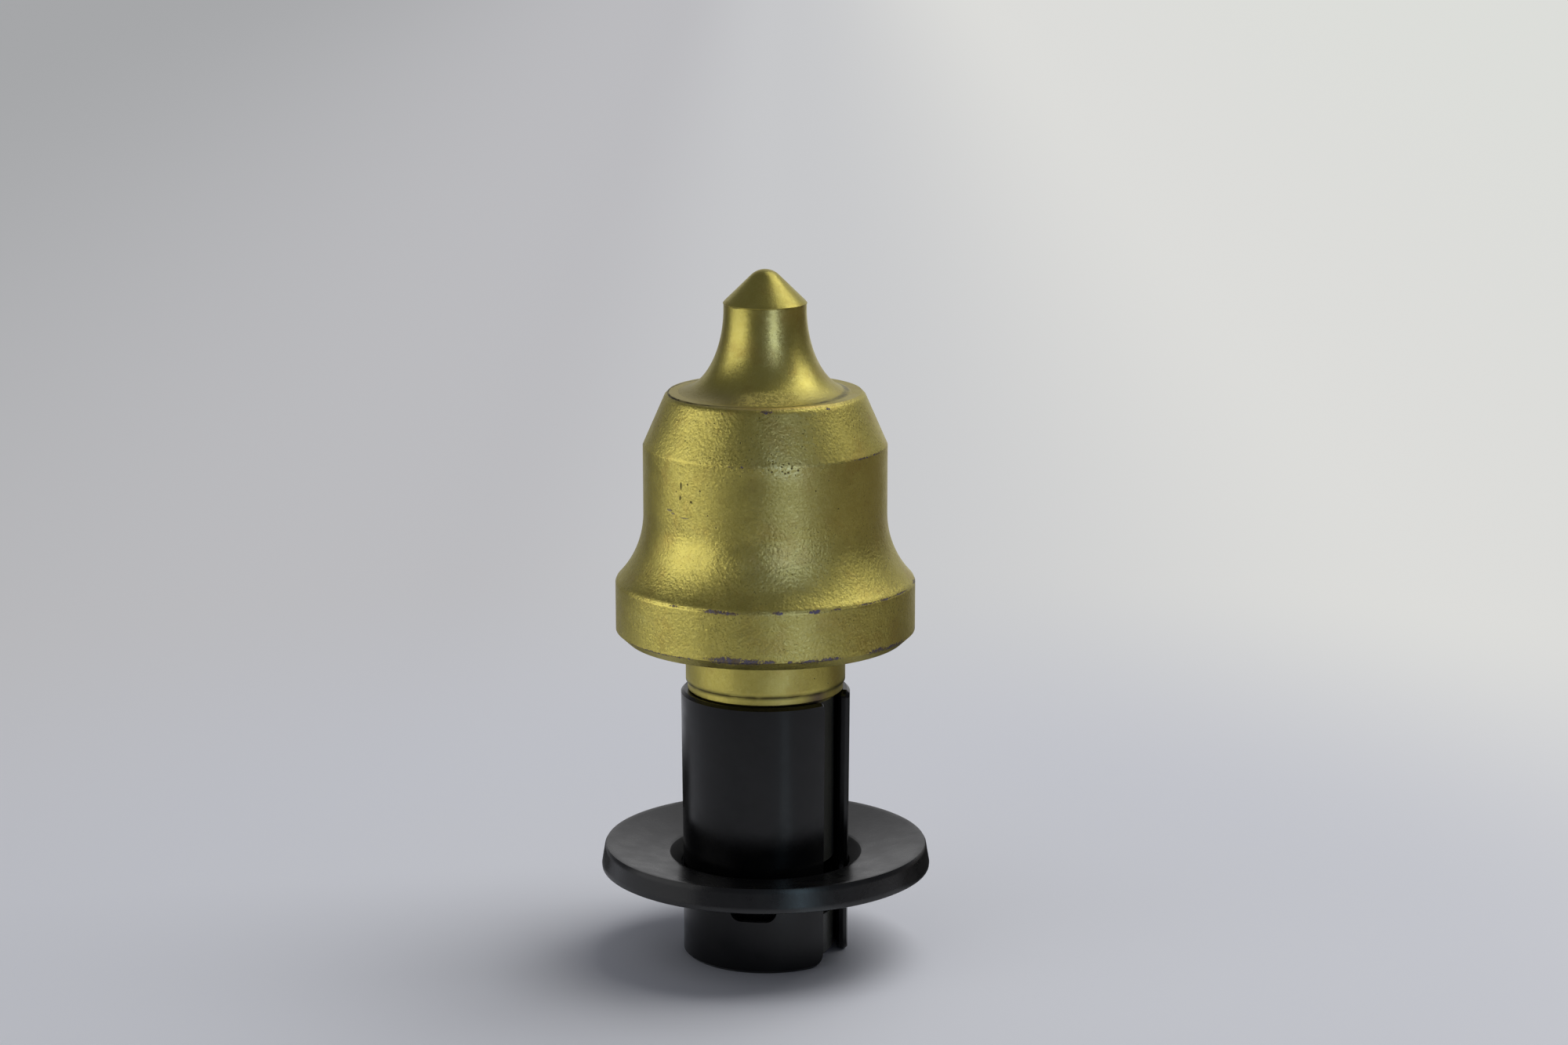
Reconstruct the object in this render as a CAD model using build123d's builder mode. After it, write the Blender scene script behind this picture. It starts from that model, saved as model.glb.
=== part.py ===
from build123d import *

import os
from math import cos, radians, sin, tan

# Road milling pick on its clamping sleeve, with its wear washer still on the sleeve.
# Millimetres. The tool stands on the sleeve's lower end: the origin is on the tool's axis,
# in the plane of that end, and +Z runs up the axis to the carbide point.

# ---------------------------------------------------------------- driving dimensions

# Pick body, one steel forging turned all over
shank_radius = 8.5
shank_end_chamfer = 0.8
seat_cone_height = 0.85        # short cone from the shank out to the land above the sleeve
seat_land_height = 0.95
seat_land_step = 0.25          # small ledge between that land and the collar
collar_radius = 9.9            # runs in a 20 mm toolholder bore
collar_height = 5.5
flange_radius = 18.5
flange_band_height = 6.15      # the plain band round the flange
flange_bevel_width = 1.25
flange_bevel_height = 1.15
flange_edge_round = 0.2
flare_height = 8.4             # hollow sweep from the flange up to the head
head_radius = 15.0
head_height = 8.45             # the plain cylinder
taper_height = 6.6             # the cone from the cylinder up to the rim
rim_radius = 12.1
rim_edge_round = 0.45

# Carbide tip, pressed and sintered in one piece
tip_base_radius = 10.6
tip_base_height = 1.45         # the edge that is let into the steel
tip_key_radius = 5.6           # shallow key under the base that centres the tip
tip_key_depth = 1.2
tip_key_flank = 1.2            # how far the key's side slopes inwards
tip_flare_height = 10.25
tip_flare_sweep = 86           # degrees of the quarter ellipse that the flare uses
tip_neck_radius = 5.07
tip_neck_height = 0.55         # straight neck above the flare
tip_cone_overhang = 0.06       # the cone's edge stands proud of the neck
tip_cone_half_angle = 45.7
tip_nose_radius = 2.45
tip_land_height = 0.15         # short straight edge at the cone's foot

# Braze between the tip and its pocket
braze_thickness = 0.2
braze_below_rim = 0.3          # the joint's top stops short of the rim

# Clamping sleeve, rolled from spring strip. The washer keeps its lower end squeezed, and from
# there it opens upwards to its free size
sleeve_length = 33.95
sleeve_opening = 0.2           # how much wider its upper end stands, on the radius
sleeve_straight_below = 0.2    # the squeezed length ends this far under the washer
sleeve_wall = 1.35
sleeve_running_gap = 0.45      # between the shank and the squeezed end's inside
sleeve_end_gap = 1.15          # between the sleeve's upper end and the collar
sleeve_end_bevel = 0.35        # outside edges of both ends
sleeve_mouth_bevel = 0.45      # inside edge of the upper end
slit_gap_angle = 32            # the open slit, as an angle at the axis
slit_direction = -28           # middle of the slit, turned from +X towards +Y
slit_lower_round = 1.8
slit_upper_round = 0.9

# Retaining lugs, lanced inwards from the sleeve
lug_count = 3
lug_width = 5.8
lug_length = 5.2
lug_set = 1.35                 # how far the free edge is pressed inwards
lug_side_gap = 0.12            # between a lug and its window, at its sides and free edge
lug_groove_gap = 0.8           # between a lug and the ends and floor of the groove
lug_free_edge_height = 6.65    # above the sleeve's lower end
lug_corner_round = 1.3         # at both ends of the free edge

# Wear washer, a dished disc
washer_radius = 20.6
washer_thickness = 3.1         # square to the dished faces
washer_dish_angle = 10
washer_bore_gap = 0.05         # slides over the sleeve's wider end
washer_countersink_width = 1.45
washer_countersink_depth = 1.2
washer_edge_round = 0.2
washer_rest_height = 9.4       # its lowest edge above the sleeve's lower end

same_size = 1e-4               # two sizes closer than this are one and the same

# ---------------------------------------------------------------- derived sizes

# Levels up the axis
collar_level = sleeve_length + sleeve_end_gap
seat_land_bottom = collar_level - seat_land_height
flange_underside = collar_level + collar_height
flange_band_bottom = flange_underside + flange_bevel_height
flange_top = flange_band_bottom + flange_band_height
flare_top = flange_top + flare_height
shoulder = flare_top + head_height
rim_level = shoulder + taper_height

# Tip levels: the base stands flush with the rim, and its foot is let into the pocket
tip_seat = rim_level - tip_base_height
tip_flare_top = rim_level + tip_flare_height
tip_cone_foot = tip_flare_top + tip_neck_height
tip_cone_radius = tip_neck_radius + tip_cone_overhang

# The flare is part of an ellipse with an upright tangent at the neck
tip_flare_width = (tip_base_radius - tip_neck_radius) / (1 - cos(radians(tip_flare_sweep)))
tip_flare_rise = tip_flare_height / sin(radians(tip_flare_sweep))

# The nose is a ball that the cone runs into without a corner
nose_touch_radius = tip_nose_radius * cos(radians(tip_cone_half_angle))
nose_touch_rise = tip_nose_radius * sin(radians(tip_cone_half_angle))
nose_touch_level = (
    tip_cone_foot
    + tip_land_height
    + (tip_cone_radius - nose_touch_radius) / tan(radians(tip_cone_half_angle))
)
nose_centre = nose_touch_level - nose_touch_rise
tip_top = nose_centre + tip_nose_radius

# Land under the collar
seat_land_radius = collar_radius - seat_land_step

# Pocket in the pick body, larger than the tip's base by the braze
pocket_radius = tip_base_radius + braze_thickness
pocket_floor = tip_seat - braze_thickness

# Sleeve and lugs
sleeve_inner_radius = shank_radius + sleeve_running_gap
sleeve_outer_radius = sleeve_inner_radius + sleeve_wall
sleeve_straight_length = washer_rest_height - sleeve_straight_below
sleeve_top_radius = sleeve_outer_radius + sleeve_opening
sleeve_mouth_radius = sleeve_inner_radius + sleeve_opening
strip_angle = 360 - slit_gap_angle
strip_start = slit_direction + slit_gap_angle / 2
lug_hinge_height = lug_free_edge_height + lug_length
lug_hinge_opening = (
    sleeve_opening
    * (lug_hinge_height - sleeve_straight_length)
    / (sleeve_length - sleeve_straight_length)
)

# Groove in the shank, where the lugs hold the pick
groove_bottom = lug_free_edge_height - lug_groove_gap
groove_top = lug_hinge_height + lug_groove_gap
groove_floor_radius = sleeve_inner_radius - lug_set - lug_groove_gap

# Washer
washer_bore_radius = sleeve_top_radius + washer_bore_gap
washer_slope = tan(radians(washer_dish_angle))
washer_lean = washer_thickness * sin(radians(washer_dish_angle))
washer_rise = washer_thickness * cos(radians(washer_dish_angle))
washer_foot_level = washer_rest_height + (washer_radius - washer_bore_radius) * washer_slope

# ---------------------------------------------------------------- shared outlines


def seat_outline(radius, level):
    """Half section of the tip's seat, from its outer corner in to the axis."""
    return [
        (radius, level),
        (tip_key_radius, level),
        (tip_key_radius - tip_key_flank, level - tip_key_depth),
        (0, level - tip_key_depth),
    ]


def washer_face_level(radius):
    """Height of the washer's dished upper face at a radius."""
    return washer_foot_level + washer_rise - (washer_radius - washer_lean - radius) * washer_slope


def ring_edges(part, radius, level):
    """The round edges of a turned part at one radius and one height."""
    return (
        part.edges()
        .filter_by(GeomType.CIRCLE)
        .filter_by(lambda edge: abs(edge.radius - radius) < same_size)
        .filter_by(lambda edge: abs(edge.arc_center.Z - level) < same_size)
    )


# ---------------------------------------------------------------- pick body

with BuildPart() as pick_body:
    # Shank, collar, flange and head are one turned outline
    with BuildSketch(Plane.XZ):
        with BuildLine():
            Polyline(
                (0, 0),
                (shank_radius, 0),
                (shank_radius, seat_land_bottom - seat_cone_height),
                (seat_land_radius, seat_land_bottom),
                (seat_land_radius, collar_level),
                (collar_radius, collar_level),
                (collar_radius, flange_underside),
                (flange_radius - flange_bevel_width, flange_underside),
                (flange_radius, flange_band_bottom),
                (flange_radius, flange_top),
            )
            TangentArc((head_radius, flare_top), (flange_radius, flange_top), tangent=(0, -1))
            Polyline(
                (head_radius, flare_top),
                (head_radius, shoulder),
                (rim_radius, rim_level),
                (0, rim_level),
                (0, 0),
            )
        make_face()
    revolve(axis=Axis.Z)

    fillet(ring_edges(pick_body, rim_radius, rim_level), radius=rim_edge_round)
    fillet(ring_edges(pick_body, flange_radius, flange_top), radius=flange_edge_round)
    chamfer(ring_edges(pick_body, shank_radius, 0), length=shank_end_chamfer)

    # Pocket for the tip and its braze
    with BuildSketch(Plane.XZ):
        with BuildLine():
            Polyline(
                *seat_outline(pocket_radius, pocket_floor),
                (0, rim_level),
                (pocket_radius, rim_level),
                close=True,
            )
        make_face()
    revolve(axis=Axis.Z, mode=Mode.SUBTRACT)

    # Groove round the shank for the sleeve's lugs
    with BuildSketch(Plane.XZ):
        with BuildLine():
            Polyline(
                (groove_floor_radius, groove_bottom),
                (shank_radius, groove_bottom),
                (shank_radius, groove_top),
                (groove_floor_radius, groove_top),
                close=True,
            )
        make_face()
    revolve(axis=Axis.Z, mode=Mode.SUBTRACT)

pick_body.part.label = "pick_body"

# ---------------------------------------------------------------- braze joint

with BuildPart() as braze_joint:
    with BuildSketch(Plane.XZ):
        with BuildLine():
            Polyline(
                *seat_outline(pocket_radius, pocket_floor),
                *reversed(seat_outline(tip_base_radius, tip_seat)),
                (tip_base_radius, rim_level - braze_below_rim),
                (pocket_radius, rim_level - braze_below_rim),
                close=True,
            )
        make_face()
    revolve(axis=Axis.Z)

braze_joint.part.label = "braze_joint"

# ---------------------------------------------------------------- carbide tip

with BuildPart() as carbide_tip:
    with BuildSketch(Plane.XZ):
        with BuildLine():
            Polyline(
                (0, tip_top),
                *reversed(seat_outline(tip_base_radius, tip_seat)),
                (tip_base_radius, rim_level),
            )
            EllipticalCenterArc(
                (tip_neck_radius + tip_flare_width, tip_flare_top),
                tip_flare_width,
                tip_flare_rise,
                start_angle=180,
                arc_size=tip_flare_sweep,
            )
            Polyline(
                (tip_neck_radius, tip_flare_top),
                (tip_neck_radius, tip_cone_foot),
                (tip_cone_radius, tip_cone_foot),
                (tip_cone_radius, tip_cone_foot + tip_land_height),
                (nose_touch_radius, nose_touch_level),
            )
            CenterArc(
                (0, nose_centre),
                tip_nose_radius,
                start_angle=tip_cone_half_angle,
                arc_size=90 - tip_cone_half_angle,
            )
        make_face()
    revolve(axis=Axis.Z)

carbide_tip.part.label = "carbide_tip"

# ---------------------------------------------------------------- retaining lug

# One lug and its window, drawn on the +X side and later turned to their places

lug_past_wall = 2 * sleeve_outer_radius


def lug_face(gap):
    """The window's outline, or with a gap inside it the lug's: straight sides hanging from the
    hinge line, and a straight free edge with round corners."""
    side = lug_width / 2 - gap
    free_edge = lug_free_edge_height + gap
    corner = lug_corner_round - gap
    Polyline(
        (-side, free_edge + corner),
        (-side, lug_hinge_height),
        (side, lug_hinge_height),
        (side, free_edge + corner),
    )
    RadiusArc((side, free_edge + corner), (side - corner, free_edge), corner)
    Line((side - corner, free_edge), (corner - side, free_edge))
    RadiusArc((corner - side, free_edge), (-side, free_edge + corner), corner)


with BuildPart() as lug_window:
    with BuildSketch(Plane.YZ):
        with BuildLine():
            lug_face(0)
        make_face()
    extrude(amount=lug_past_wall)

with BuildPart() as retaining_lug:
    # A cone-shaped wall that leans inwards from the hinge line down to the free edge
    with BuildSketch(Plane.XZ):
        with BuildLine():
            Polyline(
                (sleeve_inner_radius + lug_hinge_opening, lug_hinge_height),
                (sleeve_outer_radius + lug_hinge_opening, lug_hinge_height),
                (sleeve_outer_radius - lug_set, lug_free_edge_height),
                (sleeve_inner_radius - lug_set, lug_free_edge_height),
                close=True,
            )
        make_face()
    revolve(axis=Axis.Z)
    with BuildSketch(Plane.YZ):
        with BuildLine():
            lug_face(lug_side_gap)
        make_face()
    extrude(amount=lug_past_wall, mode=Mode.INTERSECT)

# ---------------------------------------------------------------- clamping sleeve

strip_plane = Plane(
    origin=(0, 0, 0),
    x_dir=(cos(radians(strip_start)), sin(radians(strip_start)), 0),
    z_dir=(sin(radians(strip_start)), -cos(radians(strip_start)), 0),
)

with BuildPart() as clamping_sleeve:
    # The strip is rolled round the axis from one side of the slit to the other
    with BuildSketch(strip_plane):
        with BuildLine():
            Polyline(
                (sleeve_inner_radius, 0),
                (sleeve_outer_radius, 0),
                (sleeve_outer_radius, sleeve_straight_length),
                (sleeve_top_radius, sleeve_length),
                (sleeve_mouth_radius, sleeve_length),
                (sleeve_inner_radius, sleeve_straight_length),
                close=True,
            )
        make_face()
    revolve(axis=Axis.Z, revolution_arc=strip_angle)

    # The strip's corners beside the slit are rounded, the lower ones more
    slit_corners = clamping_sleeve.edges().filter_by(GeomType.LINE).filter_by(Axis.Z, reverse=True)
    fillet(slit_corners.group_by(Axis.Z)[0], radius=slit_lower_round)
    slit_corners = clamping_sleeve.edges().filter_by(GeomType.LINE).filter_by(Axis.Z, reverse=True)
    fillet(slit_corners.group_by(Axis.Z)[-1], radius=slit_upper_round)
    outside_rims = (
        ring_edges(clamping_sleeve, sleeve_outer_radius, 0)
        + ring_edges(clamping_sleeve, sleeve_top_radius, sleeve_length)
    )
    chamfer(outside_rims, length=sleeve_end_bevel)
    mouth_rim = ring_edges(clamping_sleeve, sleeve_mouth_radius, sleeve_length)
    chamfer(mouth_rim, length=sleeve_mouth_bevel)

    with PolarLocations(0, lug_count, start_angle=strip_start + strip_angle / lug_count / 2,
                        angular_range=strip_angle):
        add(lug_window.part, mode=Mode.SUBTRACT)
        add(retaining_lug.part)

clamping_sleeve.part.label = "clamping_sleeve"

# ---------------------------------------------------------------- wear washer

with BuildPart() as wear_washer:
    with BuildSketch(Plane.XZ):
        with BuildLine():
            Polyline(
                (washer_bore_radius, washer_rest_height),
                (washer_radius, washer_foot_level),
                (washer_radius - washer_lean, washer_foot_level + washer_rise),
                (
                    washer_bore_radius + washer_countersink_width,
                    washer_face_level(washer_bore_radius + washer_countersink_width),
                ),
                (
                    washer_bore_radius,
                    washer_face_level(washer_bore_radius + washer_countersink_width)
                    - washer_countersink_depth,
                ),
                close=True,
            )
        make_face()
    revolve(axis=Axis.Z)
    fillet(ring_edges(wear_washer, washer_radius, washer_foot_level), radius=washer_edge_round)
    fillet(
        ring_edges(wear_washer, washer_radius - washer_lean, washer_foot_level + washer_rise),
        radius=washer_edge_round,
    )

wear_washer.part.label = "wear_washer"

# ---------------------------------------------------------------- files

os.makedirs("parts", exist_ok=True)
export_step(pick_body.part, "parts/pick_body.step")
export_step(braze_joint.part, "parts/braze_joint.step")
export_step(carbide_tip.part, "parts/carbide_tip.step")
export_step(clamping_sleeve.part, "parts/clamping_sleeve.step")
export_step(wear_washer.part, "parts/wear_washer.step")
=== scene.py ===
# %% [markdown]
# # A road milling pick, turned, painted and set on a pale table
#
# A milling pick is the tooth of the drum that planes old asphalt off a road. Its carbide point is
# brazed into a forged steel body, a slit sleeve clamps its shank in the toolholder, and a dished
# washer takes the wear between the two. The head has been sprayed gold, point and all. The sleeve
# and the washer are blackened.
#
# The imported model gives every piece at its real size. This lesson loads it, makes finer copies of
# the turned pieces with their worn edges, and builds the paints, the table and the light.

from math import asin, cos, degrees, hypot, pi, radians, sin, tan

import bpy
import numpy as np
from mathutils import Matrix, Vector


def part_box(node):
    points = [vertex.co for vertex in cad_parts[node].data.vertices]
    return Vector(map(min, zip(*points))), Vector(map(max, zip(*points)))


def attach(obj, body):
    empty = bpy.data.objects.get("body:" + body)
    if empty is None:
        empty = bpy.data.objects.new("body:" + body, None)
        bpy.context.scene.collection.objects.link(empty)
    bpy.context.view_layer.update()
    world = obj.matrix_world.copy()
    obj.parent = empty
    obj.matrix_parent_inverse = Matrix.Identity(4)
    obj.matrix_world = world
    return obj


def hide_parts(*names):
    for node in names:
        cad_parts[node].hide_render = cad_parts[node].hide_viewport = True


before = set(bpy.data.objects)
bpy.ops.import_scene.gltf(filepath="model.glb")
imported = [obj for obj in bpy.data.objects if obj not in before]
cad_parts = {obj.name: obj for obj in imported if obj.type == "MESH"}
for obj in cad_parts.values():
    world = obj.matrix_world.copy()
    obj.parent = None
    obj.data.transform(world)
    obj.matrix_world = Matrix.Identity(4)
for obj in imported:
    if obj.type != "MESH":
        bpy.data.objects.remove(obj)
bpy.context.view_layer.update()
MM = 0.001
for node in sorted(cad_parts):
    low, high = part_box(node)
    print(f"{node}: {(high.x - low.x) / MM:.1f} wide, {low.z / MM:.2f} to {high.z / MM:.2f} mm high")

# %% [markdown]
# ## How the turned pieces are made
#
# The body, the point and the washer are all round, made on a lathe or in a press. They could be
# cylinders joined and cut, or a curve with a Screw modifier. Here each is one half outline spun
# about the axis: extruding a vertex from point to point draws the outline as a turner reads it,
# and Spin does what the lathe does. Long hidden runs get long steps and shown ones get short
# steps, so that the wear which is stored on the points later has something to sit on.

# %% Ways to walk along an outline
SHOWN_STEP = 0.3      # mm, the longest step along a surface that shows
EDGE_STEP = 0.15      # mm, the step beside an edge that carries chips
EDGE_RUN = 0.6        # mm, how far from such an edge the short steps reach


def straight(start, end, step=SHOWN_STEP):
    """Points from start to end, without start itself."""
    count = max(1, round(hypot(end[0] - start[0], end[1] - start[1]) / step))
    return [
        (start[0] + (end[0] - start[0]) * i / count, start[1] + (end[1] - start[1]) * i / count)
        for i in range(1, count + 1)
    ]


def rounded(centre, radii, start_angle, sweep, step=SHOWN_STEP):
    """Points along part of a circle or an ellipse, without the first one."""
    count = max(3, round(radians(abs(sweep)) * max(radii) / step))
    angles = [radians(start_angle + sweep * i / count) for i in range(1, count + 1)]
    return [(centre[0] + radii[0] * cos(a), centre[1] + radii[1] * sin(a)) for a in angles]


quarter = rounded((0, 0), (1, 1), 0, 90)
print(f"a quarter circle of 1 mm takes {len(quarter)} steps and ends at {quarter[-1][1]:.2f}")

# %% Spin an outline into a piece
WELD = 0.002 * MM     # points closer than this become one
SMOOTH_UP_TO = 32     # degrees between faces that still shade as one surface


def spun(name, outline, steps):
    """A closed piece from its half outline: one vertex is extruded along it, then spun round."""
    bpy.ops.object.select_all(action="DESELECT")
    bpy.ops.mesh.primitive_plane_add(size=MM)
    piece = bpy.context.object
    piece.name = name
    bpy.ops.object.mode_set(mode="EDIT")
    bpy.ops.mesh.merge(type="CENTER")
    bpy.ops.transform.translate(value=(outline[0][0] * MM, 0, outline[0][1] * MM))
    for (radius, level), (next_radius, next_level) in zip(outline, outline[1:]):
        move = ((next_radius - radius) * MM, 0, (next_level - level) * MM)
        bpy.ops.mesh.extrude_region_move(TRANSFORM_OT_translate={"value": move})
    bpy.ops.mesh.select_all(action="SELECT")
    bpy.ops.mesh.spin(steps=steps, angle=2 * pi, center=(0, 0, 0), axis=(0, 0, 1))
    bpy.ops.mesh.select_all(action="SELECT")
    bpy.ops.mesh.remove_doubles(threshold=WELD)
    bpy.ops.mesh.normals_make_consistent(inside=False)
    bpy.ops.object.mode_set(mode="OBJECT")
    bpy.ops.object.shade_smooth_by_angle(angle=radians(SMOOTH_UP_TO))
    print(f"{name}: {len(piece.data.vertices)} points, {len(piece.data.polygons)} faces")
    return piece


# %% [markdown]
# ## The body
#
# The body is one forging. From its lower end up it has a shank with a groove for the sleeve's
# lugs, a short cone and a land above the sleeve's mouth, a collar that centres it in the
# toolholder, a flange that sheds the wear, a hollow flare, the head and its taper. The levels and
# radii below are the turner's dimensions in millimetres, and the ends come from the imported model.

# %% Shank and collar
shank_radius = 8.5
shank_bevel = 0.8
groove_floor = 6.8
groove_bottom = 5.85
groove_top = 12.65
cone_bottom = 33.3
land_radius = 9.65
land_bottom = 34.15
collar_radius = 9.9
collar_level = 35.1
flange_underside = 40.6
small_round = 0.15

shank_outline = [
    (0, 0), (shank_radius - shank_bevel, 0), (shank_radius, shank_bevel),
    (shank_radius, groove_bottom), (groove_floor, groove_bottom),
    (groove_floor, groove_top), (shank_radius, groove_top),
]
shank_outline += straight(shank_outline[-1], (shank_radius, cone_bottom), 4)
shank_outline += straight(shank_outline[-1], (land_radius, land_bottom))
shank_outline += straight(shank_outline[-1], (land_radius, collar_level))
collar_outline = rounded((collar_radius - small_round, collar_level + small_round),
                         (small_round, small_round), -90, 90)
collar_outline += straight(collar_outline[-1], (collar_radius, flange_underside), 0.6)
print(f"shank {2 * shank_radius} mm and collar {2 * collar_radius} mm across,"
      f" {len(shank_outline + collar_outline)} points")

# %% Flange and flare
flange_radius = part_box("pick_body")[1].x / MM
flange_bevel = 1.25
band_bottom = 41.75
flange_top = 47.9
flange_round = 0.2
head_radius = 15.0
flare_top = 56.3

# The flare is part of a circle that stands upright where it meets the head
flare_out = flange_radius - head_radius
flare_radius = ((flare_top - flange_top) ** 2 / flare_out + flare_out) / 2
flare_sweep = degrees(asin((flare_top - flange_top) / flare_radius))
flare_centre = (head_radius + flare_radius, flare_top)
edge_turn = 1.2       # degrees of the flare that the flange's round takes off
edge_angle = 180 + flare_sweep - edge_turn
flare_edge = (flare_centre[0] + flare_radius * cos(radians(edge_angle)),
              flare_centre[1] + flare_radius * sin(radians(edge_angle)))

flange_outline = straight(collar_outline[-1], (flange_radius - flange_bevel, flange_underside), 0.8)
flange_outline += straight(flange_outline[-1], (flange_radius, band_bottom))
flange_outline += straight(flange_outline[-1], (flange_radius, band_bottom + EDGE_RUN), EDGE_STEP)
flange_outline += straight(flange_outline[-1], (flange_radius, flange_top - flange_round - EDGE_RUN))
flange_outline += straight(flange_outline[-1], (flange_radius, flange_top - flange_round), EDGE_STEP)
flange_outline += straight(flange_outline[-1], flare_edge, 0.1)
flange_outline += rounded(flare_centre, (flare_radius, flare_radius), edge_angle, edge_turn - flare_sweep)
print(f"flange {2 * flange_radius:.1f} mm across, flare of {flare_radius:.2f} mm radius"
      f" over {flare_sweep:.1f} degrees")

# %% Head, rim and pocket
shoulder = 64.75
rim_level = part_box("pick_body")[1].z / MM
rim_outer = 12.3      # where the taper meets the rim's bevel
rim_inner = 11.85     # where the bevel meets the flat of the rim
rim_bevel = 0.455
lip_radius = 10.606   # paint closes the braze gap up to this close to the point
lip_depth = 0.25
pocket_radius = 10.8
pocket_floor = 69.7
key_mouth = 5.6       # a short cone under the pocket keeps the point upright
key_radius = 4.4
key_floor = 68.5

head_outline = straight(flange_outline[-1], (head_radius, shoulder - EDGE_RUN))
head_outline += straight(head_outline[-1], (head_radius, shoulder), EDGE_STEP)
head_outline += straight(head_outline[-1], (rim_outer, rim_level - rim_bevel))
head_outline += straight(head_outline[-1], (rim_inner, rim_level), EDGE_STEP)
head_outline += straight(head_outline[-1], (lip_radius, rim_level), 0.25)
head_outline += [
    (lip_radius, rim_level - lip_depth),
    (pocket_radius, rim_level - lip_depth - 0.15), (pocket_radius, pocket_floor),
    (key_mouth, pocket_floor), (key_radius, key_floor), (0, key_floor),
]
painted_body = spun("painted_body", shank_outline + collar_outline + flange_outline + head_outline, 288)

# %% [markdown]
# ## The point
#
# Tungsten carbide is pressed as powder and sintered, so the point has no turned corners: its flare
# is one sweep, its nose is a ball, and the cone stands a hair proud of the neck where the two
# punches of the die met. Its foot is let into the pocket and ends flush with the rim. A sculpted
# cone would never come out as even as this, so the point is an outline too.

# %% Sizes of the point
tip_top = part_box("carbide_tip")[1].z / MM
foot_radius = 10.6
foot_bottom = 69.9
foot_corner = 0.01
key_bottom = 68.7
neck_radius = 5.07
neck_height = 0.5
flare_rise = 10.25
flare_turn = 86       # degrees of the quarter ellipse that the sweep uses
corner_turn = 0.8     # degrees of it that the foot's sharp corner takes off
flare_level = rim_level + flare_rise
cone_overhang = 0.06
nose_radius = 2.45
cone_angle = radians(45.7)
sweep_width = (foot_radius - neck_radius) / (1 - cos(radians(flare_turn)))
sweep_height = flare_rise / sin(radians(flare_turn))
nose_level = tip_top - nose_radius
nose_meets_cone = (nose_radius * cos(cone_angle), nose_level + nose_radius * sin(cone_angle))
print(f"point: foot {2 * foot_radius} mm, neck {2 * neck_radius} mm, top at {tip_top:.2f} mm")

# %% Foot, flare, cone and nose of the point
point_outline = [(0, key_bottom), (key_radius, key_bottom)]
point_outline += [(key_mouth, foot_bottom), (foot_radius, foot_bottom)]
point_outline += [(foot_radius, rim_level - foot_corner), (foot_radius - foot_corner, rim_level)]
point_outline += rounded((neck_radius + sweep_width, flare_level), (sweep_width, sweep_height),
                         180 + flare_turn - corner_turn, corner_turn - flare_turn, 0.2)
point_outline += straight((neck_radius, flare_level), (neck_radius, flare_level + neck_height))

# The step under the cone is soft: out, up and back in by a few hundredths
point_outline += [(neck_radius + cone_overhang - 0.01, flare_level + 0.56)]
point_outline += [(neck_radius + cone_overhang, flare_level + 0.64)]
point_outline += straight((neck_radius + cone_overhang / 2, flare_level + 0.72), nose_meets_cone, 0.2)
point_outline += rounded((0, nose_level), (nose_radius, nose_radius), degrees(cone_angle),
                         90 - degrees(cone_angle), 0.15)
painted_point = spun("painted_point", point_outline, 192)

# %% [markdown]
# ## The washer
#
# The washer is a ring punched from plate and dished, with its bore countersunk on top. It could be
# a flat ring bent by a modifier, but its outline is only a leaning strip, so it is spun like the
# others. Punching leaves the rim's edges slightly rolled.

# %% Washer outline
washer_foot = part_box("wear_washer")[0].z / MM
washer_radius = 20.6
plate = 3.1
dish = radians(10)
bore = 10.55
countersink_radius = 12.0
countersink_depth = 1.2
roll = 0.35           # how far the rolled edges reach in from the corners


def along_dish(radius, start):
    """Point of a dished face at a radius, from any point on that face."""
    return (radius, start[1] + (radius - start[0]) * tan(dish))


bore_foot = (bore, washer_foot)
under = along_dish(washer_radius, bore_foot)
over = (under[0] - plate * sin(dish), under[1] + plate * cos(dish))
washer_outline = [bore_foot] + straight(bore_foot, along_dish(washer_radius - roll, under), 0.5)

# Both edges of the rim are rolled over by about a tenth, and the rim between them leans a little
washer_outline += [(under[0] - 0.1, under[1] + 0.08), (under[0] - 0.07, under[1] + roll)]
washer_outline += straight(washer_outline[-1], (over[0] + 0.06, over[1] - roll), 0.4)
washer_outline += [(over[0] - 0.1, over[1] - 0.08), along_dish(over[0] - roll, over)]
washer_outline += straight(washer_outline[-1], along_dish(countersink_radius, over), 0.5)
countersink_bottom = (bore, along_dish(countersink_radius, over)[1] - countersink_depth)
washer_outline += straight(washer_outline[-1], countersink_bottom, 0.4) + [bore_foot]
blackened_washer = spun("blackened_washer", washer_outline, 256)

# %% [markdown]
# ## Which solid each piece stands for
#
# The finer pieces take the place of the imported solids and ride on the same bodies, so the pick
# still spins in its sleeve and the washer still slides. The sleeve and the braze keep their packed
# solids, which already have all their edges.

# %% Ride on the bodies
for piece, node, body, slot in (
    (painted_body, "pick_body", "pick", "painted_steel"),
    (painted_point, "carbide_tip", "pick", "painted_carbide"),
    (blackened_washer, "wear_washer", "washer", "washer_steel"),
):
    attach(piece, body)
    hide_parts(node)
    print(f"{piece.name} stands for {node} on {body}")
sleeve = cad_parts["clamping_sleeve"]
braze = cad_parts["braze_joint"]

# %% [markdown]
# ## Finishes as nodes
#
# Every finish here is worked out from the place of a point on its piece, in the piece's own
# coordinates, so it stays put when the piece moves and needs no pictures. A Paint is one material
# with its node tree, and a few short functions add the nodes that all the finishes share.

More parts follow.
